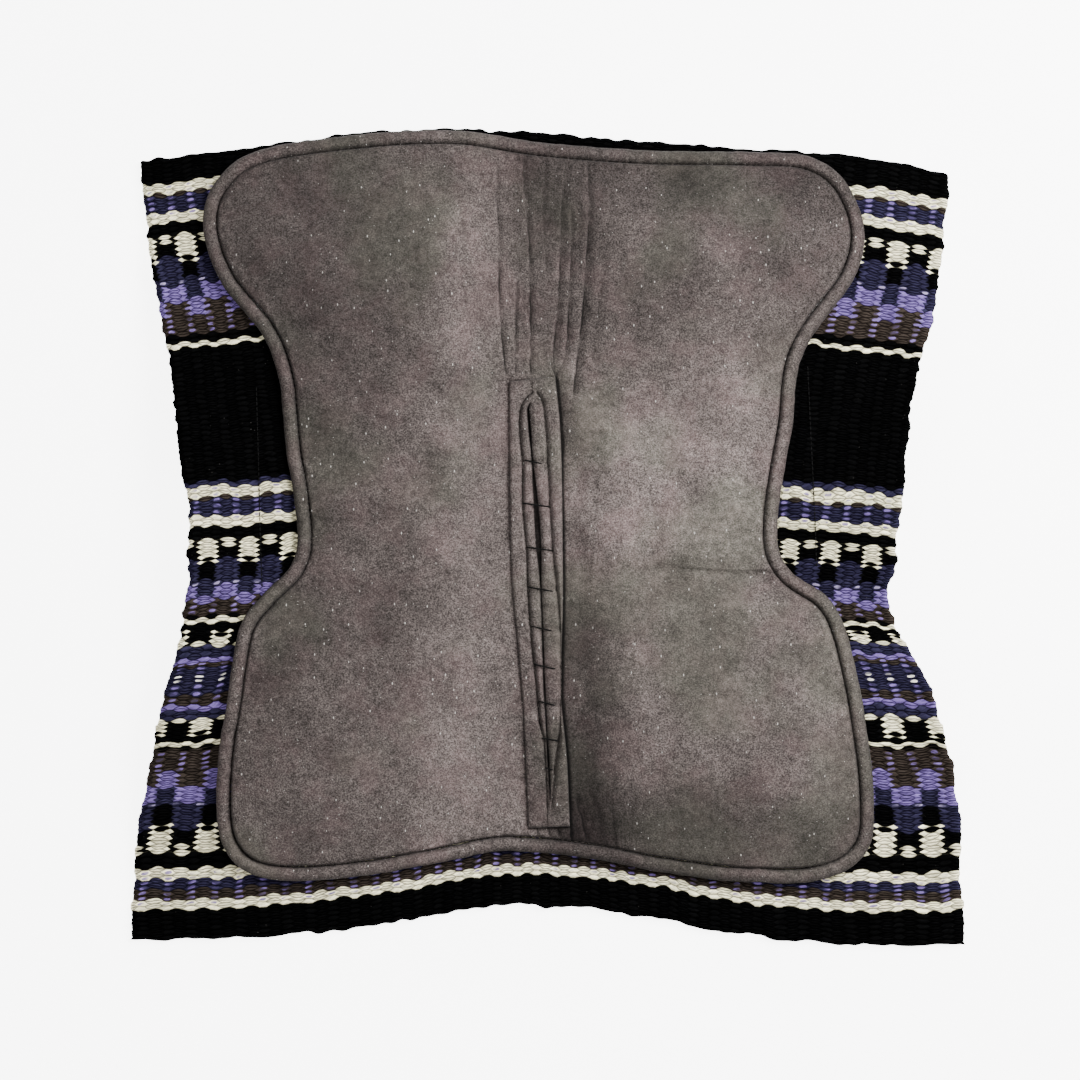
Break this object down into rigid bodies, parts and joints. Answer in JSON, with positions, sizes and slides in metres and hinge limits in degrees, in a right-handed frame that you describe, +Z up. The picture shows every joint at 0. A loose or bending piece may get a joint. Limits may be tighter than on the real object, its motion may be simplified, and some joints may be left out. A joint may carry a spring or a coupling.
{
  "type": "western saddle pad",
  "caption": "Western saddle pad laid open felt side up: striped woven blanket, shaped padded felt lining with a rolled edge and a slit spine band, folding along the spine.",
  "frame": {"origin": "on the floor under the middle of the pad's box as it lies open with the felt side up", "axes": "+Y along the spine to the front (withers) end, +X across the pad to the half on the right as seen from above with the front away, +Z up out of the felt"},
  "size_m": [0.8464, 0.8356, 0.0549],
  "materials": {
    "blanket_wool": "coarse weft-faced wool in black, cream, navy, lavender and brown",
    "padding": "soft fibre padding",
    "felt": "mottled taupe wool felt with pale lint flecks",
    "leather": "brown smooth leather",
    "thread": "dark heavy sewing thread"
  },
  "bodies": {
    "right_wing": {"woven_blanket_right": "blanket_wool", "padding_core_right": "padding", "felt_lining_right": "felt", "felt_edge_roll_right": "felt", "spine_band_right": "felt", "wear_leather_right": "leather", "edge_stitching_right": "thread", "slit_stitching_right": "thread", "slit_tacks_right": "thread", "leather_stitching_right": "thread"},
    "left_wing": {"woven_blanket_left": "blanket_wool", "padding_core_left": "padding", "felt_lining_left": "felt", "felt_edge_roll_left": "felt", "spine_band_left": "felt", "wear_leather_left": "leather", "edge_stitching_left": "thread", "slit_stitching_left": "thread", "slit_tacks_left": "thread", "leather_stitching_left": "thread"}
  },
  "joints": [
    {"name": "spine_fold", "type": "hinge", "parent": "right_wing", "child": "left_wing", "pos_m": [-0.00231, 0, 0.0237], "axis": [0, 1, 0], "range_deg": [0, 160]}
  ]
}
